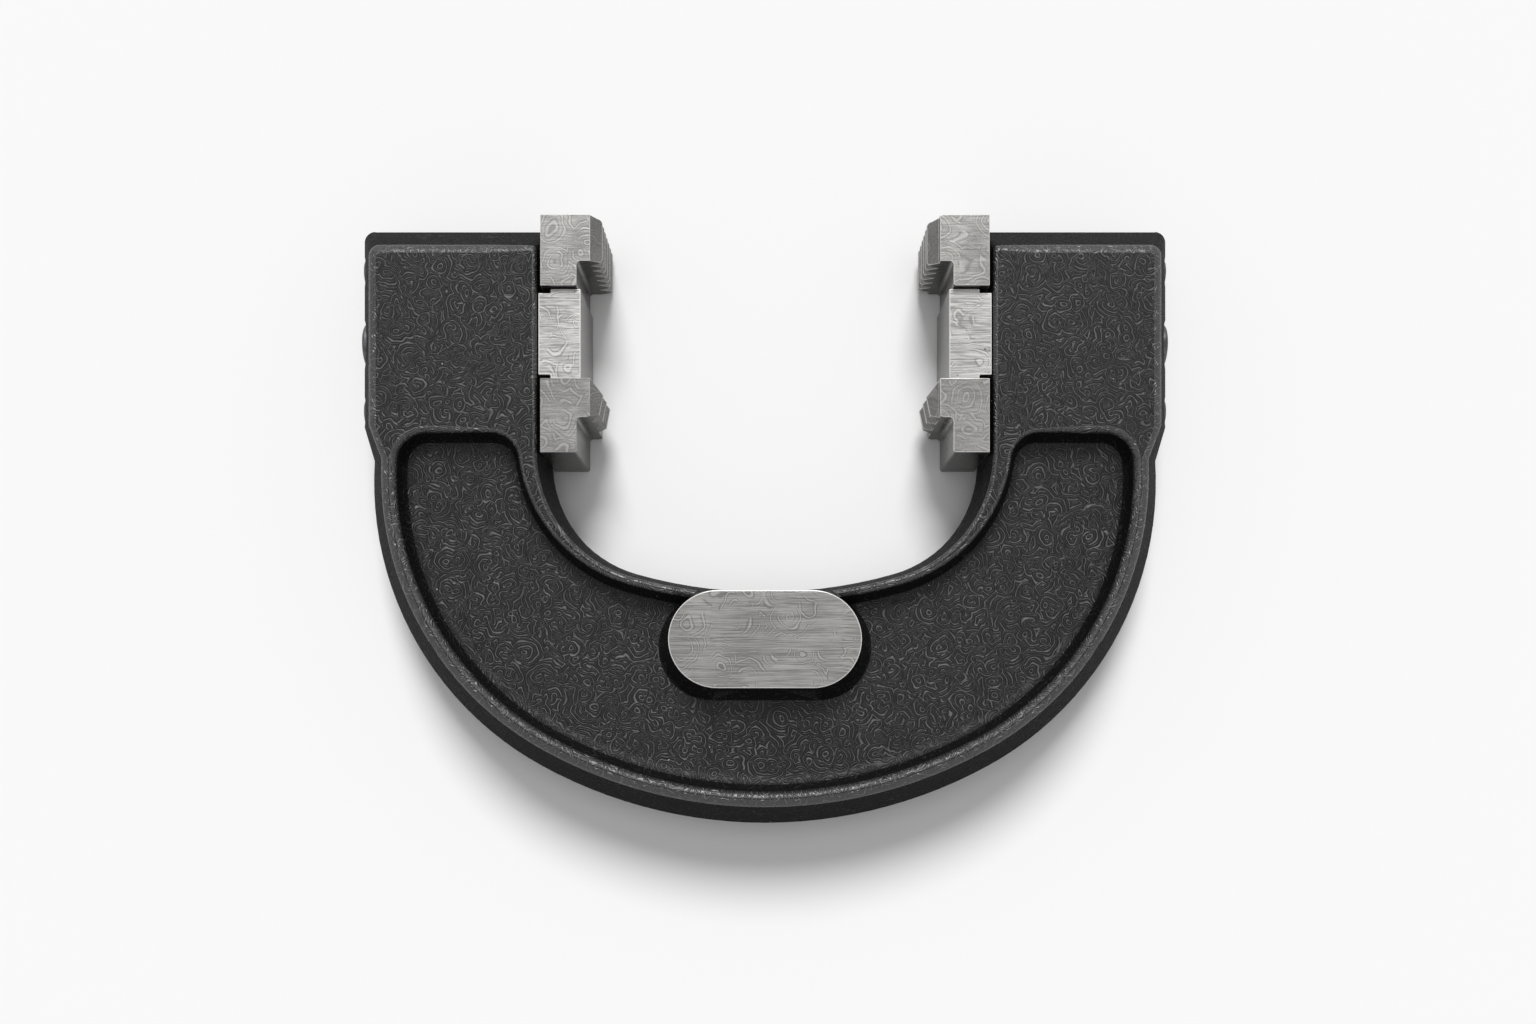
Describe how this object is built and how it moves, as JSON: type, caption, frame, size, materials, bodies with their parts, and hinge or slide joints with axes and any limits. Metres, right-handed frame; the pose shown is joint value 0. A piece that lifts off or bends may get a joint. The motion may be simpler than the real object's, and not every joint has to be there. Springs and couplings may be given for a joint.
{
  "type": "thread caliper gauge",
  "caption": "Horseshoe-frame thread gauge with a GO and a NOT-GO pair of ridged anvils that face each other across the throat and are set by screws.",
  "frame": {"origin": "middle of the footprint, on the face that the gauge rests on", "axes": "+X from the left arm to the right arm, +Y from the bow to the mouth, +Z out of the front face"},
  "size_m": [0.149, 0.11, 0.0212],
  "materials": {
    "frame_enamel": "black wrinkle enamel over cast iron",
    "anvil_steel": "hardened and ground",
    "block_steel": "surface ground along the arm",
    "plate_steel": "brushed lengthwise, bare",
    "screw_steel": "blackened",
    "pad_brass": "turned"
  },
  "bodies": {
    "frame": {"frame": "frame_enamel", "plate": "plate_steel", "clamp_block_left": "block_steel", "clamp_block_right": "block_steel", "clamp_screw_left": "screw_steel", "clamp_screw_right": "screw_steel"},
    "go_anvil_left": {"go_anvil_left": "anvil_steel"},
    "go_adjuster_left": {"go_adjuster_left": "screw_steel"},
    "go_lock_pad_left": {"go_lock_pad_left": "pad_brass"},
    "go_lock_screw_left": {"go_lock_screw_left": "screw_steel"},
    "no_go_anvil_left": {"no_go_anvil_left": "anvil_steel"},
    "no_go_adjuster_left": {"no_go_adjuster_left": "screw_steel"},
    "no_go_lock_pad_left": {"no_go_lock_pad_left": "pad_brass"},
    "no_go_lock_screw_left": {"no_go_lock_screw_left": "screw_steel"},
    "go_anvil_right": {"go_anvil_right": "anvil_steel"},
    "go_adjuster_right": {"go_adjuster_right": "screw_steel"},
    "go_lock_pad_right": {"go_lock_pad_right": "pad_brass"},
    "go_lock_screw_right": {"go_lock_screw_right": "screw_steel"},
    "no_go_anvil_right": {"no_go_anvil_right": "anvil_steel"},
    "no_go_adjuster_right": {"no_go_adjuster_right": "screw_steel"},
    "no_go_lock_pad_right": {"no_go_lock_pad_right": "pad_brass"},
    "no_go_lock_screw_right": {"no_go_lock_screw_right": "screw_steel"}
  },
  "joints": [
    {"name": "go_anvil_left_slide", "type": "slide", "parent": "frame", "child": "go_anvil_left", "axis": [1, 0, 0], "range_m": [0, 0.0015]},
    {"name": "go_adjuster_left_turn", "type": "hinge", "parent": "go_anvil_left", "child": "go_adjuster_left", "pos_m": [-0.0549, 0.0475, 0.01025], "axis": [1, 0, 0], "range_deg": [0, 720]},
    {"name": "go_lock_pad_left_slide", "type": "slide", "parent": "frame", "child": "go_lock_pad_left", "axis": [0, 0, -1], "range_m": [0, 0.0008]},
    {"name": "go_lock_screw_left_turn", "type": "hinge", "parent": "go_lock_pad_left", "child": "go_lock_screw_left", "pos_m": [-0.0492, 0.0475, 0.00555], "axis": [0, 0, -1], "range_deg": [0, 360]},
    {"name": "no_go_anvil_left_slide", "type": "slide", "parent": "frame", "child": "no_go_anvil_left", "axis": [1, 0, 0], "range_m": [0, 0.0015]},
    {"name": "no_go_adjuster_left_turn", "type": "hinge", "parent": "no_go_anvil_left", "child": "no_go_adjuster_left", "pos_m": [-0.0549, 0.0215, 0.01025], "axis": [1, 0, 0], "range_deg": [0, 720]},
    {"name": "no_go_lock_pad_left_slide", "type": "slide", "parent": "frame", "child": "no_go_lock_pad_left", "axis": [0, 0, -1], "range_m": [0, 0.0008]},
    {"name": "no_go_lock_screw_left_turn", "type": "hinge", "parent": "no_go_lock_pad_left", "child": "no_go_lock_screw_left", "pos_m": [-0.0492, 0.0215, 0.00555], "axis": [0, 0, -1], "range_deg": [0, 360]},
    {"name": "go_anvil_right_slide", "type": "slide", "parent": "frame", "child": "go_anvil_right", "axis": [-1, 0, 0], "range_m": [0, 0.0015]},
    {"name": "go_adjuster_right_turn", "type": "hinge", "parent": "go_anvil_right", "child": "go_adjuster_right", "pos_m": [0.0549, 0.0475, 0.01025], "axis": [-1, 0, 0], "range_deg": [0, 720]},
    {"name": "go_lock_pad_right_slide", "type": "slide", "parent": "frame", "child": "go_lock_pad_right", "axis": [0, 0, -1], "range_m": [0, 0.0008]},
    {"name": "go_lock_screw_right_turn", "type": "hinge", "parent": "go_lock_pad_right", "child": "go_lock_screw_right", "pos_m": [0.0492, 0.0475, 0.00555], "axis": [0, 0, -1], "range_deg": [0, 360]},
    {"name": "no_go_anvil_right_slide", "type": "slide", "parent": "frame", "child": "no_go_anvil_right", "axis": [-1, 0, 0], "range_m": [0, 0.0015]},
    {"name": "no_go_adjuster_right_turn", "type": "hinge", "parent": "no_go_anvil_right", "child": "no_go_adjuster_right", "pos_m": [0.0549, 0.0215, 0.01025], "axis": [-1, 0, 0], "range_deg": [0, 720]},
    {"name": "no_go_lock_pad_right_slide", "type": "slide", "parent": "frame", "child": "no_go_lock_pad_right", "axis": [0, 0, -1], "range_m": [0, 0.0008]},
    {"name": "no_go_lock_screw_right_turn", "type": "hinge", "parent": "no_go_lock_pad_right", "child": "no_go_lock_screw_right", "pos_m": [0.0492, 0.0215, 0.00555], "axis": [0, 0, -1], "range_deg": [0, 360]}
  ],
  "couplings": [
    {"joint": "go_adjuster_left_turn", "follows": "go_anvil_left_slide", "rad_per_m": 8377.6},
    {"joint": "go_lock_screw_left_turn", "follows": "go_lock_pad_left_slide", "rad_per_m": 7854},
    {"joint": "no_go_adjuster_left_turn", "follows": "no_go_anvil_left_slide", "rad_per_m": 8377.6},
    {"joint": "no_go_lock_screw_left_turn", "follows": "no_go_lock_pad_left_slide", "rad_per_m": 7854},
    {"joint": "go_adjuster_right_turn", "follows": "go_anvil_right_slide", "rad_per_m": 8377.6},
    {"joint": "go_lock_screw_right_turn", "follows": "go_lock_pad_right_slide", "rad_per_m": 7854},
    {"joint": "no_go_adjuster_right_turn", "follows": "no_go_anvil_right_slide", "rad_per_m": 8377.6},
    {"joint": "no_go_lock_screw_right_turn", "follows": "no_go_lock_pad_right_slide", "rad_per_m": 7854}
  ]
}
